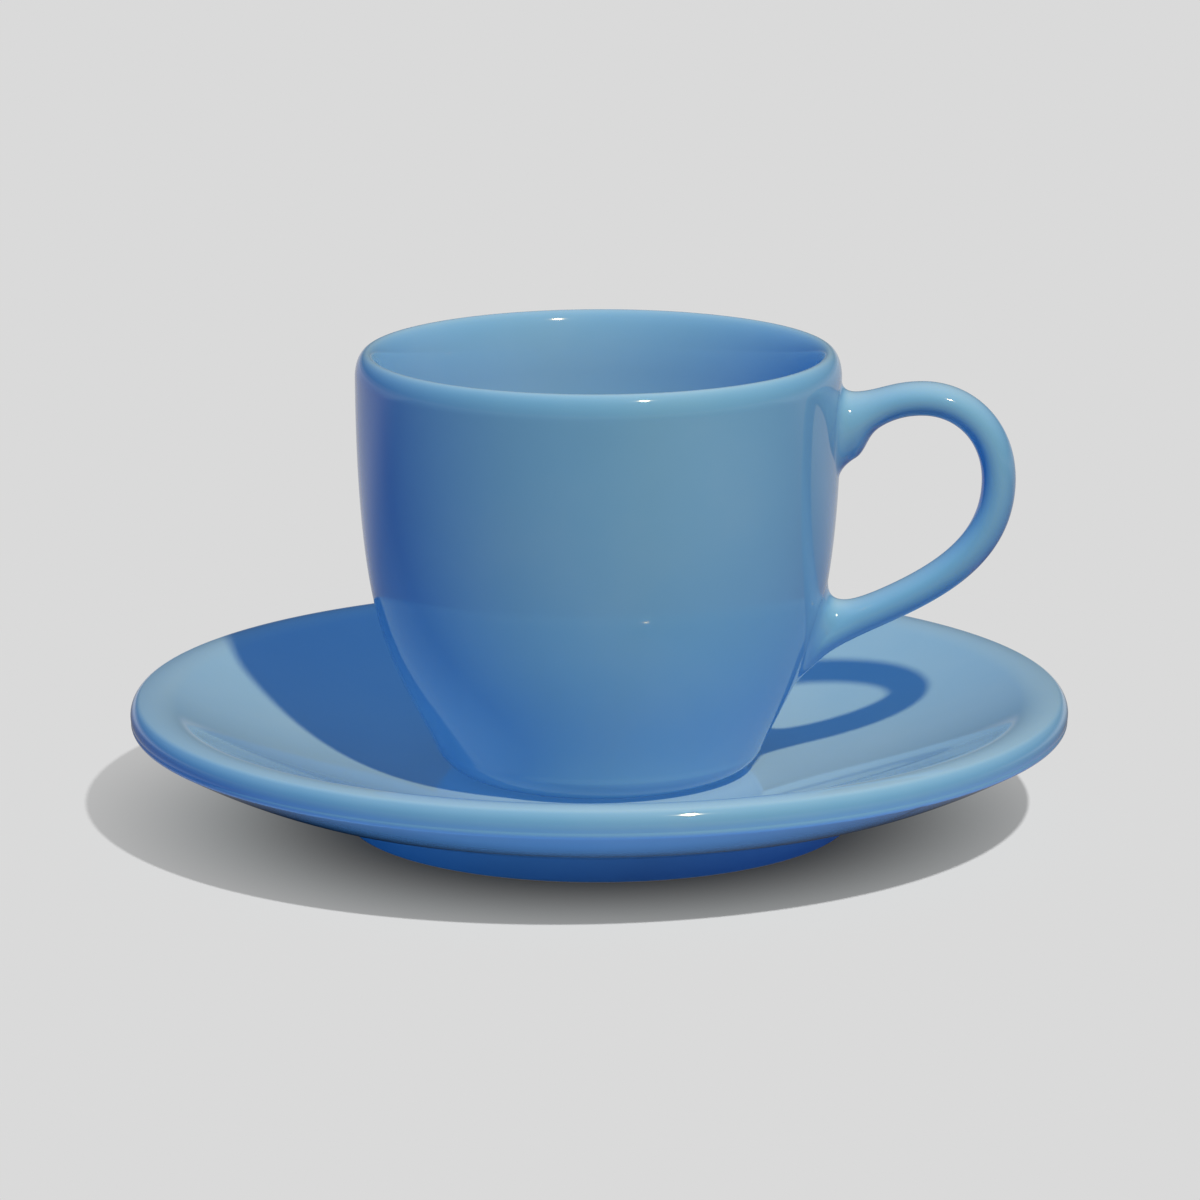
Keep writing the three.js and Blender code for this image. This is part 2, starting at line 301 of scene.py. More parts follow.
def saucer_profile():
    """Profile from the axis on the well, over the dish, round the lip and back under the belly to the axis."""
    lip = saucer_lip()
    well = (WELL_RADIUS, WELL_HEIGHT)
    width = lip[0, 0] - WELL_RADIUS
    dish = bezier(
        well,
        ahead(well, 0, DISH_PULL_WELL * width),
        ahead(lip[0], DISH_SLOPE, -DISH_PULL_LIP * width),
        lip[0],
        DISH_STEPS,
    )
    foot_top = (SAUCER_FOOT_RADIUS + SAUCER_FOOT_DRAFT, SAUCER_FOOT_HEIGHT - BELLY_FILLET)
    fillet_centre = (foot_top[0] + BELLY_FILLET, foot_top[1])
    fillet_radii = (BELLY_FILLET, BELLY_FILLET)
    fillet = arc(fillet_centre, fillet_radii, math.pi / 2 + BELLY_SLOPE, math.pi, FILLET_STEPS)
    belly_width = lip[-1, 0] - fillet[0, 0]
    belly = bezier(
        lip[-1],
        ahead(lip[-1], LIP_UNDER + math.pi / 2, -BELLY_PULL * belly_width),
        ahead(fillet[0], BELLY_SLOPE, BELLY_PULL * belly_width),
        fillet[0],
        BELLY_STEPS,
    )
    inside = SAUCER_FOOT_RADIUS - SAUCER_FOOT_WIDTH
    recess = WELL_HEIGHT - SAUCER_BASE
    edge = (SAUCER_FOOT_ROUND, SAUCER_FOOT_ROUND)
    outer_edge = arc((SAUCER_FOOT_RADIUS - edge[0], edge[0]), edge, 0, -math.pi / 2, EDGE_STEPS)
    inner_edge = arc((inside + edge[0], edge[0]), edge, -math.pi / 2, -math.pi, EDGE_STEPS)
    recess_edge = arc((inside - edge[0], recess - edge[0]), edge, 0, math.pi / 2, EDGE_STEPS)
    return join(
        line((0, WELL_HEIGHT), well, WELL_STEPS),
        dish,
        lip,
        belly,
        fillet,
        line(fillet[-1], outer_edge[0], FOOT_SIDE_STEPS),
        outer_edge,
        line(outer_edge[-1], inner_edge[0], FOOT_STEPS),
        inner_edge,
        line(inner_edge[-1], recess_edge[0], RECESS_STEPS),
        recess_edge,
        line(recess_edge[-1], (0, recess), WELL_STEPS),
    )


def wall_curve(count):
    """Cubic curve of the bowl's outer wall, leaning out at the base and upright under the lip."""
    foot = (
        CUP_FOOT_RADIUS + BASE_ROUND * math.cos(WALL_LEAN),
        BASE_ROUND * (1 - math.sin(WALL_LEAN)),
    )
    top = (RIM_RADIUS, CUP_HEIGHT - LIP_HEIGHT)
    rise = top[1] - foot[1]
    return bezier(
        foot,
        ahead(foot, math.pi / 2 - WALL_LEAN, WALL_PULL_LOW * rise),
        ahead(top, -math.pi / 2, WALL_PULL_HIGH * rise),
        top,
        count,
    )


def square_to(points):
    """Unit directions square to a run of points, to the right of its travel."""
    travel = np.gradient(points, axis=0, edge_order=2)
    travel /= np.linalg.norm(travel, axis=1)[:, None]
    return np.stack([travel[:, 1], -travel[:, 0]], 1)


def bowl_profile():
    """Profile from the axis under the base, round the foot, up the wall, over the lip and down the inside.

    Inside the lip the wall grows thicker with the sine of an angle, while the height falls with 1 - cosine.
    Below that, the inside lies one thickness off the outside, square to it, and rounds off into the floor.
    """
    recess_corner = (CUP_FOOT_RADIUS - CUP_FOOT_WIDTH - CUP_FOOT_RECESS, 0)
    recess_radii = (CUP_FOOT_RECESS, CUP_FOOT_RECESS + SEAT_GAP - FOOT_REST)
    sunk = np.array([0, FOOT_REST - SEAT_GAP])
    recess = arc(recess_corner, recess_radii, math.pi / 2, 0, CUP_RECESS_STEPS) + sunk
    base_radii = (BASE_ROUND, BASE_ROUND + SEAT_GAP - FOOT_REST)
    base = arc((CUP_FOOT_RADIUS, BASE_ROUND), base_radii, -math.pi / 2, -WALL_LEAN, BASE_ROUND_STEPS)
    fine = wall_curve(DENSE)
    wall = wall_curve(WALL_STEPS)
    base[-1] = wall[0]
    lip_centre = (RIM_RADIUS - WALL / 2, CUP_HEIGHT - LIP_HEIGHT)
    lip = arc(lip_centre, (WALL / 2, LIP_HEIGHT), 0, math.pi / 2, RIM_STEPS)
    grown = np.linspace(0, math.pi / 2, INNER_LIP_STEPS)
    height = CUP_HEIGHT - INNER_LIP[1] * (1 - np.cos(grown))
    out = square_to(fine)
    facing = np.stack([np.interp(height, fine[:, 1], out[:, place]) for place in (0, 1)], 1)
    inner_lip = np.stack([np.interp(height, fine[:, 1], fine[:, 0]), height], 1)
    inner_lip -= (WALL / 2 + INNER_LIP[0] * np.sin(grown))[:, None] * facing
    below = fine[:, 1] < height[-1]
    thick = WALL / 2 + INNER_LIP[0]
    floor = CUP_FOOT_RECESS + CUP_BASE
    corner_centres = fine - (thick + INSIDE_ROUND) * out
    corner = int(np.argmax(corner_centres[:, 1] > floor + INSIDE_ROUND))
    inner = (fine - thick * out)[corner : np.count_nonzero(below)][::-1]
    inner = inner[np.linspace(0, len(inner) - 1, INSIDE_STEPS).astype(int)]
    side_angle = math.atan2(out[corner, 1], out[corner, 0])
    round_radii = (INSIDE_ROUND, INSIDE_ROUND)
    round_off = arc(corner_centres[corner], round_radii, side_angle, -math.pi / 2, INSIDE_ROUND_STEPS)
    return join(
        line((0, recess[0, 1]), recess[0], BASE_STEPS),
        recess,
        line(recess[-1], base[0], FOOT_STEPS),
        base,
        wall,
        lip,
        inner_lip,
        inner,
        round_off,
        line(round_off[-1], (0, round_off[-1, 1]), BASE_STEPS),
    ) + np.array([0, CUP_FOOT])


def turned(profile, turns):
    """Grid of a profile turned about Z: radius times cosine and sine of even angles, with the height kept.

    The first and last points of the profile lie on the axis and become single pole points.
    """
    angle = np.linspace(0, 2 * math.pi, turns, endpoint=False)
    radius = profile[1:-1, :1]
    height = np.broadcast_to(profile[1:-1, 1:], (len(radius), turns))
    ring = np.stack([radius * np.cos(angle), radius * np.sin(angle), height], 2)
    poles = np.array([[0, 0, profile[0, 1]], [0, 0, profile[-1, 1]]])
    return ring, poles


def tube_faces(rows, sides, upward):
    """Quads between neighbouring rows of a closed grid, and triangles from each end row to its pole point.

    Rows run first and sides close on themselves. The two poles follow the grid's own points.
    """
    row, side = np.meshgrid(np.arange(rows - 1), np.arange(sides), indexing="ij")
    here = row * sides + side
    beside = row * sides + (side + 1) % sides
    quads = np.stack([here, beside, beside + sides, here + sides], 2).reshape(-1, 4)
    first = np.arange(sides)
    after = (first + 1) % sides
    last = (rows - 1) * sides
    pole = rows * sides
    start_fan = np.stack([after, first, np.full(sides, pole)], 1)
    end_fan = np.stack([last + first, last + after, np.full(sides, pole + 1)], 1)
    fans = np.concatenate([start_fan, end_fan])
    return (quads, fans) if upward else (quads[:, ::-1], fans[:, ::-1])


def piece(name, ring, poles, upward, attributes):
    """Mesh object of a closed grid with two poles, shaded smooth, with one number a point for an attribute.

    The attribute up is added: how far each point faces up, from none to 1.
    """
    rows, sides = ring.shape[:2]
    points = np.concatenate([ring.reshape(-1, 3), poles])
    quads, fans = tube_faces(rows, sides, upward)
    corners = np.concatenate([quads.ravel(), fans.ravel()]).astype(np.int32)
    sizes = np.concatenate([np.full(len(quads), 4), np.full(len(fans), 3)])
    mesh = bpy.data.meshes.new(name)
    mesh.vertices.add(len(points))
    mesh.vertices.foreach_set("co", points.astype(np.float32).ravel())
    mesh.loops.add(len(corners))
    mesh.loops.foreach_set("vertex_index", corners)
    mesh.polygons.add(len(sizes))
    mesh.polygons.foreach_set("loop_start", np.concatenate([[0], np.cumsum(sizes)[:-1]]).astype(np.int32))
    mesh.polygons.foreach_set("use_smooth", np.ones(len(sizes), bool))
    for label, values in attributes.items():
        layer = mesh.attributes.new(label, "FLOAT", "POINT")
        layer.data.foreach_set("value", values.astype(np.float32).ravel())
    mesh.update(calc_edges=True)
    mesh.validate()
    facing = np.empty(3 * len(points), np.float32)
    mesh.vertices.foreach_get("normal", facing)
    layer = mesh.attributes.new("up", "FLOAT", "POINT")
    layer.data.foreach_set("value", facing[2::3].clip(0, 1))
    obj = bpy.data.objects.new(name, mesh)
    bpy.context.scene.collection.objects.link(obj)
    return obj


def over_grid(along, sides):
    """One value for each row of a profile spread over its ring, with the two pole values at the end."""
    inner = np.repeat(along[1:-1], sides)
    return np.concatenate([inner, [along[0], along[-1]]])


def bump_between(value, low, high, soft):
    """One between low and high, and falling smoothly to zero over a soft margin on either side."""
    rise = np.clip((value - low) / soft + 0.5, 0, 1)
    fall = np.clip((high - value) / soft + 0.5, 0, 1)
    return rise * rise * (3 - 2 * rise) * fall * fall * (3 - 2 * fall)


def foot_mask(profile, radii, height):
    """Mask of the bare ring that a piece stands on: within two radii, and close above its lowest height."""
    ring = bump_between(profile[:, 0], radii[0], radii[1], BARE_SOFT)
    low = bump_between(profile[:, 1], height - 1, height + BARE_HEIGHT, BARE_FADE)
    return ring * low


def handle_path():
    """Path of the handle's middle: three cubic curves, carried straight on into the wall at both roots.

    Gives the length from the upper root, the place, and the travel's angle at dense points, with the
    length at the lower root.
    """
    wall = wall_curve(DENSE)
    upper_z = CUP_HEIGHT - UPPER_ROOT_DROP
    upper = np.array([np.interp(upper_z, wall[:, 1], wall[:, 0]), upper_z])
    lower = np.array([np.interp(LOWER_ROOT_RISE, wall[:, 1], wall[:, 0]), LOWER_ROOT_RISE])
    crest = np.array([RIM_RADIUS + CREST_REACH, CUP_HEIGHT - CREST_DROP])
    grip = np.array([HANDLE_REACH - GRIP_THICKNESS / 2, crest[1] - GRIP_DROP])
    to_crest = crest[0] - upper[0]
    to_grip = grip - crest
    to_lower = grip - lower
    rise_curve = bezier(
        upper,
        ahead(upper, UPPER_ROOT_SLOPE, UPPER_ROOT_PULL * to_crest),
        ahead(crest, math.pi, CREST_PULL_IN * to_crest),
        crest,
        DENSE,
    )
    turn_curve = bezier(
        crest,
        ahead(crest, 0, CREST_PULL_OUT * to_grip[0]),
        ahead(grip, math.pi / 2, -GRIP_PULL_UP * to_grip[1]),
        grip,
        DENSE,
    )
    fall_curve = bezier(
        grip,
        ahead(grip, -math.pi / 2, GRIP_PULL_DOWN * to_lower[1]),
        ahead(lower, LOWER_ROOT_SLOPE, LOWER_ROOT_PULL * to_lower[0]),
        lower,
        DENSE,
    )
    curve = join(rise_curve, turn_curve, fall_curve)
    run = lengths(curve)
    travel = np.gradient(curve, run, axis=0)
    angle = np.unwrap(np.arctan2(travel[:, 1], travel[:, 0]))
    start = ahead(curve[0], angle[0], -HANDLE_SUNK)
    end = ahead(curve[-1], angle[-1], HANDLE_SUNK)
    place = np.concatenate([[start], curve, [end]])
    angle = np.concatenate([[angle[0]], angle, [angle[-1]]])
    length = np.concatenate([[-HANDLE_SUNK], run, [run[-1] + HANDLE_SUNK]])
    return length, place, angle, run[-1]


def swelling(grip, upper, lower, near_upper, near_lower):
    """Half size of the handle: the grip's, plus the extra of each root times its nearness."""
    return grip + (upper - grip) * near_upper + (lower - grip) * near_lower


def handle_surface(path, run, around):
    """Points of the handle: the path's place, plus an oval across it whose half sizes swell at the roots.

    A root's nearness is exp(-(distance / flare) squared). The oval's outside and inside swell by themselves.
    """
    length, place, angle, end = path
    x = np.interp(run, length, place[:, 0])
    z = np.interp(run, length, place[:, 1])
    across = np.interp(run, length, angle) + math.pi / 2
    from_upper = np.clip(run, 0, None)
    near_upper = np.exp(-((from_upper / UPPER_FLARE) ** 2))
    near_inside = np.exp(-((from_upper / UPPER_FLARE_INSIDE) ** 2))
    near_lower = np.exp(-((np.clip(end - run, 0, None) / LOWER_FLARE) ** 2))
    grip = GRIP_THICKNESS / 2
    outside = swelling(grip, UPPER_ROOT_OUTSIDE, LOWER_ROOT_OUTSIDE, near_upper, near_lower)
    inside = swelling(grip, UPPER_ROOT_INSIDE, LOWER_ROOT_INSIDE, near_inside, near_lower)
    wide = swelling(GRIP_WIDTH / 2, UPPER_ROOT_WIDTH / 2, LOWER_ROOT_WIDTH / 2, near_upper, near_lower)
    out = np.where(np.cos(around) > 0, outside, inside) * np.cos(around)
    return np.stack([x + out * np.cos(across), wide * np.sin(around), z + out * np.sin(across)], -1)


def wall_at(height):
    """Radius of the bowl's outer wall and its lean from upright, at heights above the cup's own foot."""
    wall = wall_curve(DENSE)
    slope = np.arctan(np.gradient(wall[:, 0], wall[:, 1]))
    return np.interp(height, wall[:, 1], wall[:, 0]), np.interp(height, wall[:, 1], slope)


def to_wall(points):
    """Angle about Z, height on the wall and distance off it, by sliding each point square to the wall."""
    radius = np.hypot(points[..., 0], points[..., 1])
    height = points[..., 2]
    for _ in range(6):
        wall_radius, lean = wall_at(height)
        off = (radius - wall_radius) * np.cos(lean) - (points[..., 2] - height) * np.sin(lean)
        height = points[..., 2] + off * np.sin(lean)
    return np.stack([np.arctan2(points[..., 1], points[..., 0]), height, off], -1)


def from_wall(spots):
    """Points at an angle about Z and a height on the wall, moved off it by a distance square to it."""
    wall_radius, lean = wall_at(spots[..., 1])
    radius = wall_radius + spots[..., 2] * np.cos(lean)
    height = spots[..., 1] - spots[..., 2] * np.sin(lean)
    return np.stack([radius * np.cos(spots[..., 0]), radius * np.sin(spots[..., 0]), height], -1)


def slip_fillet(path, around, inside, outside, slip):
    """Rows of the fillet from its edge on the wall out to the handle, and the run where the handle follows.

    In wall terms (angle, height, distance off) each row is a quadratic curve: its ends are a point on the
    handle one slip length from where the handle enters the wall, and a point on the wall one slip width
    beyond the root, square to the root's outline. Its middle is where the handle's own slope meets the wall.
    The slip's sizes change round the root with (1 - cosine) / 2, from outside the loop to inside.
    """
    inward = ((1 - np.cos(around)) / 2)[:, None]
    size = (1 - inward) * slip[0] + inward * slip[1]
    step = math.copysign(1, outside - inside)
    tries = np.linspace(inside, outside, SLIP_TRIES)[:, None]
    off = to_wall(handle_surface(path, tries, around))[..., 2]
    cross = np.argmax(off > 0, axis=0)
    column = np.arange(len(around))
    past = off[cross, column] / (off[cross, column] - off[cross - 1, column])
    enter = tries[cross, 0] - past * (tries[1, 0] - tries[0, 0])
    leave = enter + step * size[:, 0]
    nudge = 0.05 * MM
    on_handle = to_wall(handle_surface(path, leave, around))
    beyond = to_wall(handle_surface(path, leave - step * nudge, around))
    slope = beyond - on_handle
    middle = on_handle + slope * (on_handle[:, 2] / -slope[:, 2])[:, None]
    scale = np.array([wall_at(middle[:, 1].mean())[0], 1.0])
    outline = middle[:, :2] * scale
    travel = np.roll(outline, -1, axis=0) - np.roll(outline, 1, axis=0)
    travel /= np.linalg.norm(travel, axis=1)[:, None]
    square = np.stack([travel[:, 1], -travel[:, 0]], 1)
    square *= np.sign(np.sum(square * (outline - outline.mean(0)), axis=1))[:, None]
    sunk = np.full((len(around), 1), -SLIP_EDGE_SUNK)
    edge = np.concatenate([(outline + size[:, 1:] * square) / scale, sunk], 1)
    t = np.linspace(0, 1, SLIP_ROWS, endpoint=False)[:, None, None]
    rows = (1 - t) ** 2 * edge + 2 * t * (1 - t) * middle + t**2 * on_handle
    plug = edge.copy()
    plug[:, 2] = -SLIP_PLUG_SUNK
    centre = plug.mean(0)
    return from_wall(np.concatenate([plug[None], rows])), from_wall(centre), leave


def handle_grid():
    """Rows of the handle from the upper fillet's edge, round the loop, to the lower fillet's edge."""
    path = handle_path()
    end = path[3]
    around = np.linspace(0, 2 * math.pi, HANDLE_SIDES, endpoint=False)
    upper_search = (-SEARCH_INSIDE, SEARCH_OUTSIDE)
    lower_search = (end + SEARCH_INSIDE, end - SEARCH_OUTSIDE)
    upper, upper_pole, upper_leave = slip_fillet(path, around, *upper_search, UPPER_SLIP)
    lower, lower_pole, lower_leave = slip_fillet(path, around, *lower_search, LOWER_SLIP)
    share = np.linspace(0, 1, HANDLE_ROWS)[:, None]
    run = (1 - share) * upper_leave + share * lower_leave
    loop = handle_surface(path, run, around)
    ring = np.concatenate([upper, loop, lower[::-1]])
    lift = np.array([0, 0, CUP_FOOT])
    return ring + lift, np.stack([upper_pole, lower_pole]) + lift


def node(tree, kind, settings=None, inputs=None):
    """Places a node in a tree, sets its properties, and sets or links each input by its name or place."""
    placed = tree.nodes.new(kind)
    for label, value in (settings or {}).items():
        setattr(placed, label, value)
    for label, value in (inputs or {}).items():
        socket = placed.inputs[label]
        if isinstance(value, bpy.types.NodeSocket):
            tree.links.new(value, socket)
        else:
            socket.default_value = value
    return placed


def math_node(tree, operation, *values):
    """Result of one arithmetic step on values or sockets."""
    placed = node(tree, "ShaderNodeMath", {"operation": operation}, dict(enumerate(values)))
    return placed.outputs[0]


def mix_colour(tree, share, first, second):
    """Two colours blended by a share."""
    placed = node(tree, "ShaderNodeMix", {"data_type": "RGBA"}, {0: share, 6: first, 7: second})
    return placed.outputs[2]


def ramp(tree, value, low, high, start=0.0, end=1.0):
    """Smooth step of a value from start at low to end at high."""
    placed = node(
        tree,
        "ShaderNodeMapRange",
        {"interpolation_type": "SMOOTHSTEP"},
        {"Value": value, "From Min": low, "From Max": high, "To Min": start, "To Max": end},
    )
    return placed.outputs["Result"]


def group(name, inputs, outputs):
    """Empty shader node group with its named sockets, and its input and output nodes."""
    tree = bpy.data.node_groups.new(name, "ShaderNodeTree")
    for label, kind, value in inputs:
        socket = tree.interface.new_socket(label, in_out="INPUT", socket_type=kind)
        socket.default_value = value
    for label, kind in outputs:
        tree.interface.new_socket(label, in_out="OUTPUT", socket_type=kind)
    return tree, tree.nodes.new("NodeGroupInput").outputs, tree.nodes.new("NodeGroupOutput").inputs


def grey(level):
    """A neutral colour."""
    return (level, level, level, 1.0)


FLOAT = "NodeSocketFloat"
COLOUR = "NodeSocketColor"


def tone_group():
    """Glaze colour: a base that drifts paler and deeper in soft clouds, and is paler under a mask of painted
    light.
    """
    tree, given, result = group(
        "glaze_tone",
        [
            ("Base", COLOUR, grey(0.5)),
            ("Pale", COLOUR, grey(0.7)),
            ("Deep", COLOUR, grey(0.3)),
            ("Cloud Scale", FLOAT, 40.0),
            ("Cloud Amount", FLOAT, 0.2),
            ("Painted Light Mask", FLOAT, 0.0),
        ],
        [("Colour", COLOUR)],
    )
    place = node(tree, "ShaderNodeTexCoord").outputs["Object"]
    cloud = node(
        tree,
        "ShaderNodeTexNoise",
        inputs={"Vector": place, "Scale": given["Cloud Scale"], "Detail": 4.0, "Roughness": 0.55},
    ).outputs["Fac"]
    swing = math_node(tree, "MULTIPLY", math_node(tree, "SUBTRACT", cloud, 0.5), given["Cloud Amount"])
    pale_and_painted_light = math_node(tree, "ADD", given["Painted Light Mask"], swing)
    colour = mix_colour(tree, pale_and_painted_light, given["Base"], given["Pale"])
    colour = mix_colour(tree, math_node(tree, "MULTIPLY", pale_and_painted_light, -1.0), colour, given["Deep"])
    tree.links.new(colour, result["Colour"])
    return tree


def speck_group():
    """Small round specks: cells of a scattered pattern, of which a share holds a dot of its own size."""
    tree, given, result = group(
        "glaze_specks",
        [("Scale", FLOAT, 120.0), ("Share", FLOAT, 0.2), ("Size", FLOAT, 0.03)],
        [("Mask", FLOAT)],
    )
    place = node(tree, "ShaderNodeTexCoord").outputs["Object"]
    cells = node(tree, "ShaderNodeTexVoronoi", inputs={"Vector": place, "Scale": given["Scale"]})
    chance = node(tree, "ShaderNodeSeparateColor", inputs={"Color": cells.outputs["Color"]}).outputs
    size = math_node(tree, "MULTIPLY", given["Size"], math_node(tree, "ADD", chance["Green"], 0.4))
    dot = ramp(tree, cells.outputs["Distance"], size, math_node(tree, "MULTIPLY", size, 0.5))
    held = math_node(tree, "LESS_THAN", chance["Red"], given["Share"])
    tree.links.new(math_node(tree, "MULTIPLY", dot, held), result["Mask"])
    return tree


def skin_group():
    """Height of the glaze's skin in microns: long swells, fine orange peel, and rings left by turning."""
    tree, given, result = group(
        "glaze_skin",
        [
            ("Swell Scale", FLOAT, 45.0),
            ("Swell Height", FLOAT, 30.0),
            ("Peel Scale", FLOAT, 700.0),
            ("Peel Height", FLOAT, 3.0),
            ("Ring Scale", FLOAT, 500.0),
            ("Ring Height", FLOAT, 3.0),
            ("Run", FLOAT, 0.0),
        ],
        [("Height", FLOAT)],
    )
    place = node(tree, "ShaderNodeTexCoord").outputs["Object"]
    swell = node(
        tree,
        "ShaderNodeTexNoise",
        inputs={"Vector": place, "Scale": given["Swell Scale"], "Detail": 1.0},
    ).outputs["Fac"]
    peel = node(
        tree,
        "ShaderNodeTexNoise",
        inputs={"Vector": place, "Scale": given["Peel Scale"], "Detail": 2.0},
    ).outputs["Fac"]
    rings = node(
        tree,
        "ShaderNodeTexNoise",
        {"noise_dimensions": "1D"},
        {"W": given["Run"], "Scale": given["Ring Scale"], "Detail": 3.0},
    ).outputs["Fac"]
    height = math_node(tree, "MULTIPLY", swell, given["Swell Height"])
    height = math_node(tree, "MULTIPLY_ADD", peel, given["Peel Height"], height)
    height = math_node(tree, "MULTIPLY_ADD", rings, given["Ring Height"], height)
    tree.links.new(height, result["Height"])
    return tree


def place_group(tree, shared, inputs):
    """Places a shared node group in a material with the material's own values."""
    return node(tree, "ShaderNodeGroup", {"node_tree": shared}, inputs).outputs


def attribute(tree, name):
    """One of a piece's own numbers, or none where the piece doesn't have it."""
    return node(tree, "ShaderNodeAttribute", {"attribute_name": name}).outputs["Fac"]


def glaze(name, groups, values):
    """Glossy blue glaze with soft clouds, specks and pinholes, and bare clay on the ring that it stands on.

    It is paler under painted light: the piece's mask of painted bounce light, and a power of how far it faces
    up, which paints light on its tops.
    """
    material = bpy.data.materials.new(name)
    material.use_nodes = True
    tree = material.node_tree
    shader = tree.nodes["Principled BSDF"]
    tone, specks, skin = groups
    bare = attribute(tree, "bare")
    # Painted light: tops that face up, and the inside of the bowl under its mask, are paler, in place of the
    # key's light and of light bounced inside the cup
    painted_top_light = math_node(tree, "POWER", attribute(tree, "up"), TOP_LIGHT_POWER)
    colour = place_group(
        tree,
        tone,
        {
            "Base": GLAZE_BLUE,
            "Pale": GLAZE_PALE_AND_LIT,
            "Deep": GLAZE_DEEP,
            "Cloud Scale": values["cloud_scale"],
            "Cloud Amount": values["cloud_amount"],
            "Painted Light Mask": math_node(tree, "ADD", attribute(tree, "pale_and_painted_light"), painted_top_light),
        },
    )["Colour"]
    dark_sizes = {"Scale": SPECK_SCALE, "Share": values["specks"], "Size": SPECK_SIZE}
    pit_sizes = {"Scale": PIT_SCALE, "Share": values["pits"], "Size": PIT_SIZE}
    dark = place_group(tree, specks, dark_sizes)["Mask"]
    pits = place_group(tree, specks, pit_sizes)["Mask"]
    marks = math_node(tree, "MAXIMUM", dark, math_node(tree, "MULTIPLY", pits, PIT_SHADE))
    colour = mix_colour(tree, math_node(tree, "MULTIPLY", marks, MARK_STRENGTH), colour, SPECK_BROWN)
    colour = mix_colour(tree, bare, colour, BARE_CLAY)
    tree.links.new(colour, shader.inputs["Base Color"])
    rough = math_node(tree, "MULTIPLY_ADD", pits, PIT_ROUGH, GLAZE_ROUGH)
    rough = math_node(tree, "MAXIMUM", rough, math_node(tree, "MULTIPLY", bare, CLAY_ROUGH))
    tree.links.new(rough, shader.inputs["Roughness"])
    height = place_group(
        tree,
        skin,
        {
            "Swell Scale": SWELL_SCALE,
            "Swell Height": values["swell"],
            "Peel Scale": PEEL_SCALE,
            "Peel Height": values["peel"],
            "Ring Scale": values["ring_scale"],
            "Ring Height": values["rings"],
            "Run": attribute(tree, "run"),
        },
    )["Height"]
    height = math_node(tree, "MULTIPLY_ADD", pits, -PIT_DEPTH, height)
    bump = node(tree, "ShaderNodeBump", inputs={"Height": height, "Distance": MICRON, "Strength": 1.0})
    tree.links.new(bump.outputs["Normal"], shader.inputs["Normal"])
    return material


def distance(tree, place, point):
    """Length from a point to a place on a surface."""
    ends = {0: place, 1: point}
    return node(tree, "ShaderNodeVectorMath", {"operation": "DISTANCE"}, ends).outputs["Value"]


def mix_shader(tree, share, first, second):
    """Two shaders blended by a share."""
    return node(tree, "ShaderNodeMixShader", inputs={0: share, 1: first.outputs[0], 2: second.outputs[0]})


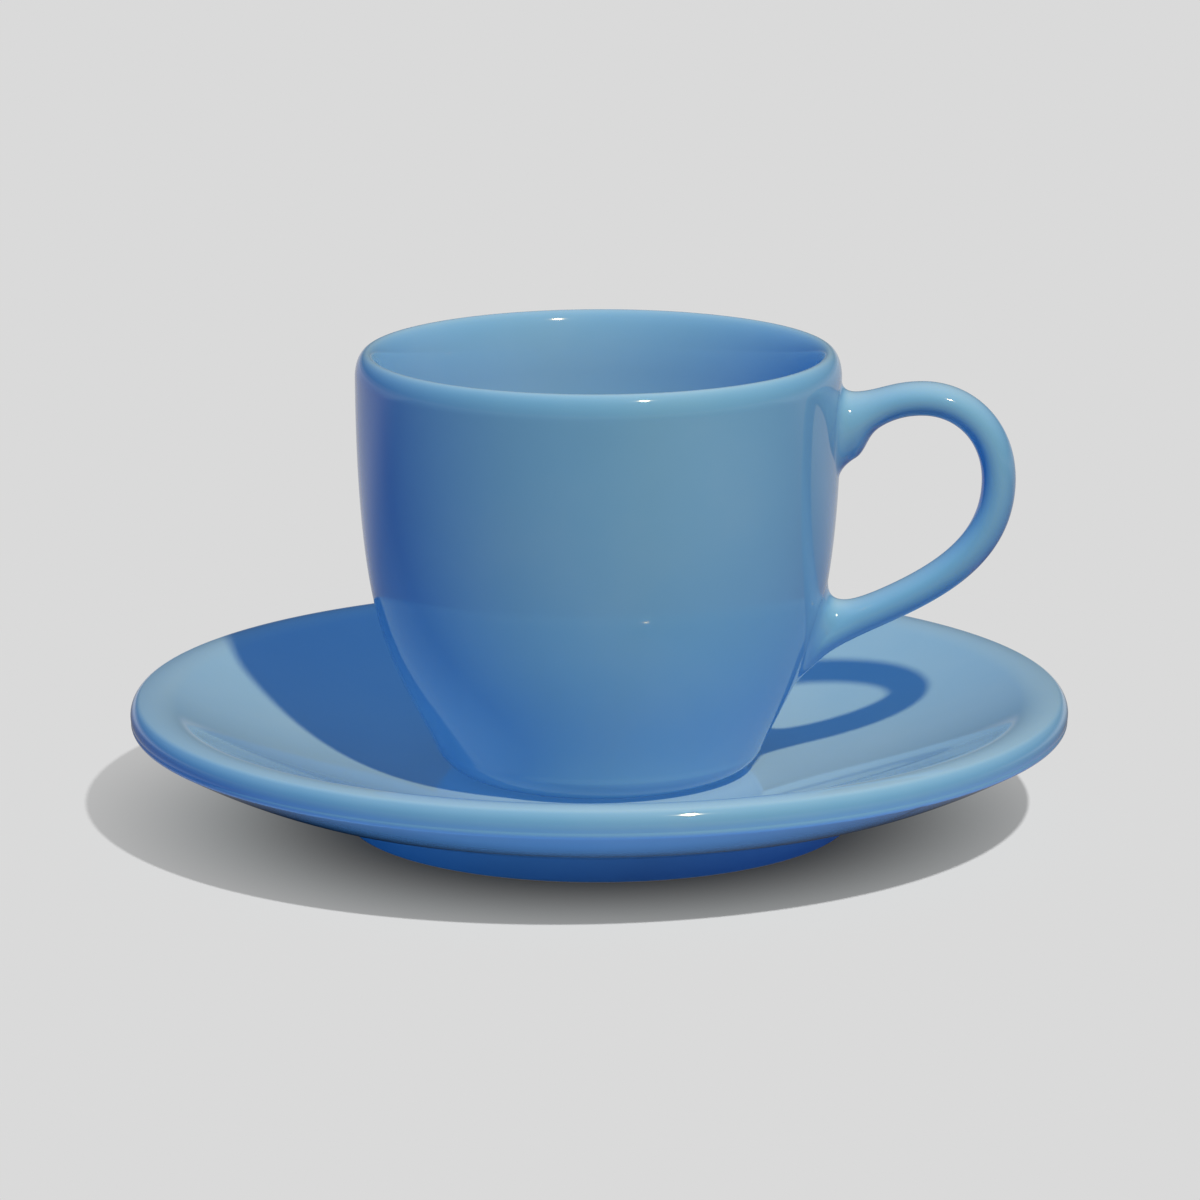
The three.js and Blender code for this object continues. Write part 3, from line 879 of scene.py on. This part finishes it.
def floor_material():
    """Plain pale floor: matt near the piece, where its shadow pales outward, and one even tone beyond.

    The paint undoes the tint of the surroundings and the fall of the lamp's light with distance, so that the
    open floor has the background's tone: paint = (background - glow) / (1 + key share x (near / far) cubed).
    In the pieces' gloss the floor is dim, with one soft pool of light and a paler part near the saucer and
    behind it. A ring of it lights the saucer's belly from below.
    """
    material = bpy.data.materials.new("studio_floor")
    material.use_nodes = True
    tree = material.node_tree
    shader = tree.nodes["Principled BSDF"]
    shader.inputs["Roughness"].default_value = 1.0
    shader.inputs["Specular IOR Level"].default_value = 0.0
    path = node(tree, "ShaderNodeLightPath").outputs
    place = node(tree, "ShaderNodeTexCoord").outputs["Object"]
    reach = distance(tree, place, Vector((0, 0, 0)))
    lamp = distance(tree, place, KEY_PLACE)
    fall = math_node(tree, "POWER", math_node(tree, "DIVIDE", KEY_PLACE.length, lamp), 3.0)
    light = math_node(tree, "MULTIPLY_ADD", fall, FLOOR_KEY_SHARE, 1.0)
    # Painted light: the floor glows for the camera, more out from the foot, so that its shadow pales outward
    glow = ramp(tree, reach, *GLOW_REACH, 0.0, FLOOR_GLOW)
    paint = math_node(tree, "DIVIDE", math_node(tree, "SUBTRACT", BACKGROUND, glow), light)
    bounce = math_node(tree, "MULTIPLY_ADD", path["Is Diffuse Ray"], FLOOR_BOUNCE - 1.0, 1.0)
    paint = math_node(tree, "MULTIPLY", paint, bounce)
    undone = {0: [1.0 / level for level in SHADE_COLOUR], "Scale": paint}
    tint = node(tree, "ShaderNodeVectorMath", {"operation": "SCALE"}, undone).outputs["Vector"]
    tree.links.new(tint, shader.inputs["Base Color"])
    seen = math_node(tree, "MAXIMUM", path["Is Camera Ray"], path["Is Transmission Ray"])
    under_end = ramp(tree, reach, *UNDER_END, 1.0, 0.0)
    under = math_node(tree, "MULTIPLY", ramp(tree, reach, *UNDER_START), under_end)
    under = math_node(tree, "MULTIPLY", under, path["Is Diffuse Ray"])
    glow_colour = node(tree, "ShaderNodeCombineColor", inputs=dict.fromkeys(range(3), glow)).outputs["Color"]
    shine = mix_colour(tree, seen, grey(0.0), glow_colour)
    shine = mix_colour(tree, under, shine, (*UNDER_COLOUR, 1.0))
    tree.links.new(shine, shader.inputs["Emission Color"])
    shader.inputs["Emission Strength"].default_value = 1.0
    even = node(tree, "ShaderNodeEmission", inputs={"Color": grey(BACKGROUND), "Strength": 1.0})
    far = math_node(tree, "MULTIPLY", seen, ramp(tree, reach, *EVEN_REACH))
    lit = mix_shader(tree, far, shader, even)
    pool = ramp(tree, distance(tree, place, POOL_PLACE), 0.0, 2 * POOL_REACH, POOL_GLOSS, 0.0)
    near_end = ramp(tree, reach, *GLOSS_END, NEAR_GLOSS, FLOOR_GLOSS)
    near = math_node(tree, "MULTIPLY", ramp(tree, reach, *GLOSS_START), near_end)
    back = node(tree, "ShaderNodeSeparateXYZ", inputs={"Vector": place}).outputs["Y"]
    behind = ramp(tree, back, *BEHIND_REACH, 0.0, BEHIND_GLOSS)
    level = math_node(tree, "ADD", math_node(tree, "ADD", pool, behind), near)
    dim = node(tree, "ShaderNodeEmission", inputs={"Color": grey(1.0), "Strength": level})
    all_rays = mix_shader(tree, path["Is Glossy Ray"], lit, dim)
    tree.links.new(all_rays.outputs[0], tree.nodes["Material Output"].inputs["Surface"])
    return material


def make_floor():
    """One large level sheet at the height of the saucer's foot."""
    half = FLOOR_SIZE / 2
    corners = [(-half, -half, 0), (half, -half, 0), (half, half, 0), (-half, half, 0)]
    mesh = bpy.data.meshes.new("studio_floor")
    mesh.from_pydata(corners, [], [(0, 1, 2, 3)])
    floor = bpy.data.objects.new("studio_floor", mesh)
    bpy.context.scene.collection.objects.link(floor)
    mesh.materials.append(floor_material())
    return floor


def make_camera():
    """Camera on the photograph's line of sight, turned about that line by the small roll of the picture."""
    level = VIEW_DISTANCE * math.cos(VIEW_HEIGHT)
    above = VIEW_DISTANCE * math.sin(VIEW_HEIGHT)
    offset = Vector((level * math.sin(VIEW_TURN), -level * math.cos(VIEW_TURN), above))
    data = bpy.data.cameras.new("photo_view")
    data.sensor_fit = "HORIZONTAL"
    data.sensor_width = SENSOR
    data.lens = SENSOR * VIEW_FOCAL
    data.shift_x = VIEW_SHIFT
    data.clip_start = 0.01
    camera = bpy.data.objects.new("photo_view", data)
    bpy.context.scene.collection.objects.link(camera)
    look = (-offset).to_track_quat("-Z", "Y").to_matrix() @ Matrix.Rotation(-VIEW_ROLL, 3, "Z")
    camera.matrix_world = Matrix.LocRotScale(VIEW_TARGET + offset, look, None)
    bpy.context.scene.camera = camera


def key_lamp(name, colour, power, receivers):
    """Small lamp in the place that the shadow on the floor gives, which lights only its receivers."""
    data = bpy.data.lights.new(name, "POINT")
    data.energy = power
    data.color = colour
    data.shadow_soft_size = KEY_RADIUS
    lamp = bpy.data.objects.new(name, data)
    lamp.location = KEY_PLACE
    bpy.context.scene.collection.objects.link(lamp)
    lit = bpy.data.collections.new(name + "_lights")
    for obj in receivers:
        lit.objects.link(obj)
    lamp.light_linking.receiver_collection = lit
    return lamp


def fill_lamp(name, side, colour, lit):
    """Even light from one side without shadow or highlight, as bright as its colour on what faces it."""
    data = bpy.data.lights.new(name, "SUN")
    data.energy = math.pi
    data.color = colour
    data.use_shadow = False
    data.specular_factor = 0.0
    lamp = bpy.data.objects.new(name, data)
    lamp.matrix_world = (-Vector(side)).to_track_quat("-Z", "Y").to_matrix().to_4x4()
    lamp.visible_glossy = False
    bpy.context.scene.collection.objects.link(lamp)
    lamp.light_linking.receiver_collection = lit


def make_light(pieces, floor):
    """Warm key on the pieces, its twin on the floor, fills for the shade, and a cool world that looks pale.

    A point lamp of power P gives the floor P sin(height) / (4 pi squared distance squared) in tone units,
    and the twin's power makes that the floor's key share of the open shade. In gloss the world is dim
    above a paler horizon.
    """
    key = key_lamp("key", KEY_COLOUR, KEY_POWER, pieces)
    slant = KEY_PLACE.z / KEY_PLACE.length
    power = FLOOR_KEY_SHARE * 4 * math.pi**2 * KEY_PLACE.length_squared / slant
    key_lamp("floor_key", SHADE_COLOUR, power, [floor])
    for name, (side, colour) in FILLS.items():
        fill_lamp(name, side, colour, key.light_linking.receiver_collection)
    world = bpy.data.worlds.new("studio")
    bpy.context.scene.world = world
    world.use_nodes = True
    tree = world.node_tree
    path = node(tree, "ShaderNodeLightPath").outputs
    way = node(tree, "ShaderNodeTexCoord").outputs["Generated"]
    height = node(tree, "ShaderNodeSeparateXYZ", inputs={"Vector": way}).outputs["Z"]
    gloss = mix_colour(tree, ramp(tree, height, *HORIZON), grey(BEHIND_GLOSS), grey(WORLD_GLOSS))
    colour = mix_colour(tree, path["Is Glossy Ray"], (*SHADE_COLOUR, 1.0), gloss)
    seen = math_node(tree, "MAXIMUM", path["Is Camera Ray"], path["Is Transmission Ray"])
    colour = mix_colour(tree, seen, colour, grey(BACKGROUND))
    tree.links.new(colour, tree.nodes["Background"].inputs["Color"])


def make_saucer(groups):
    """Saucer turned from its profile, with bare clay on its foot ring."""
    profile = saucer_profile()
    ring, poles = turned(profile, SAUCER_TURNS)
    bare = foot_mask(profile, (SAUCER_FOOT_RADIUS - SAUCER_FOOT_WIDTH, SAUCER_FOOT_RADIUS), 0)
    layers = {
        "run": over_grid(lengths(profile), SAUCER_TURNS),
        "bare": over_grid(bare, SAUCER_TURNS),
    }
    saucer = piece("saucer_dish", ring, poles, False, layers)
    saucer.data.materials.append(glaze("saucer_glaze", groups, SAUCER_GLAZE))
    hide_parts("saucer")
    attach(saucer, "saucer")
    return saucer


def make_bowl(groups):
    """Bowl turned from its profile, with bare clay on its foot, and painted bounce light that makes it paler
    inside by 1 - exp(-depth / fade).
    """
    profile = bowl_profile()
    ring, poles = turned(profile, BOWL_TURNS)
    foot_height = CUP_FOOT + FOOT_REST - SEAT_GAP
    foot_radii = (CUP_FOOT_RADIUS - CUP_FOOT_WIDTH, CUP_FOOT_RADIUS + CUP_BARE_PAST)
    within = np.arange(len(profile)) > np.argmax(profile[:, 1])
    below_rim = CUP_FOOT + CUP_HEIGHT - profile[:, 1]
    # Painted bounce light: the inside of the bowl is paler with depth below the rim
    pale_and_painted_light = INSIDE_PAINTED_LIGHT * np.where(within, 1 - np.exp(-below_rim / INSIDE_FADE), 0.0)
    layers = {
        "run": over_grid(lengths(profile), BOWL_TURNS),
        "bare": over_grid(foot_mask(profile, foot_radii, foot_height), BOWL_TURNS),
        "pale_and_painted_light": over_grid(pale_and_painted_light, BOWL_TURNS),
    }
    bowl = piece("cup_bowl", ring, poles, True, layers)
    bowl.data.materials.append(glaze("cup_glaze", groups, CUP_GLAZE))
    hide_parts("cup_body")
    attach(bowl, "cup")
    return bowl


def make_handle(groups):
    """Handle with its two fillets of slip."""
    ring, poles = handle_grid()
    run = np.zeros(ring.shape[0] * ring.shape[1] + len(poles))
    handle = piece("cup_handle", ring, poles, False, {"run": run})
    handle.data.materials.append(glaze("handle_glaze", groups, HANDLE_GLAZE))
    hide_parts("handle")
    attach(handle, "cup")
    return handle


make_camera()
floor = make_floor()
groups = (tone_group(), speck_group(), skin_group())
saucer = make_saucer(groups)
bowl = make_bowl(groups)
handle = make_handle(groups)
make_light([saucer, bowl, handle], floor)
bpy.context.scene.view_settings.view_transform = "Standard"
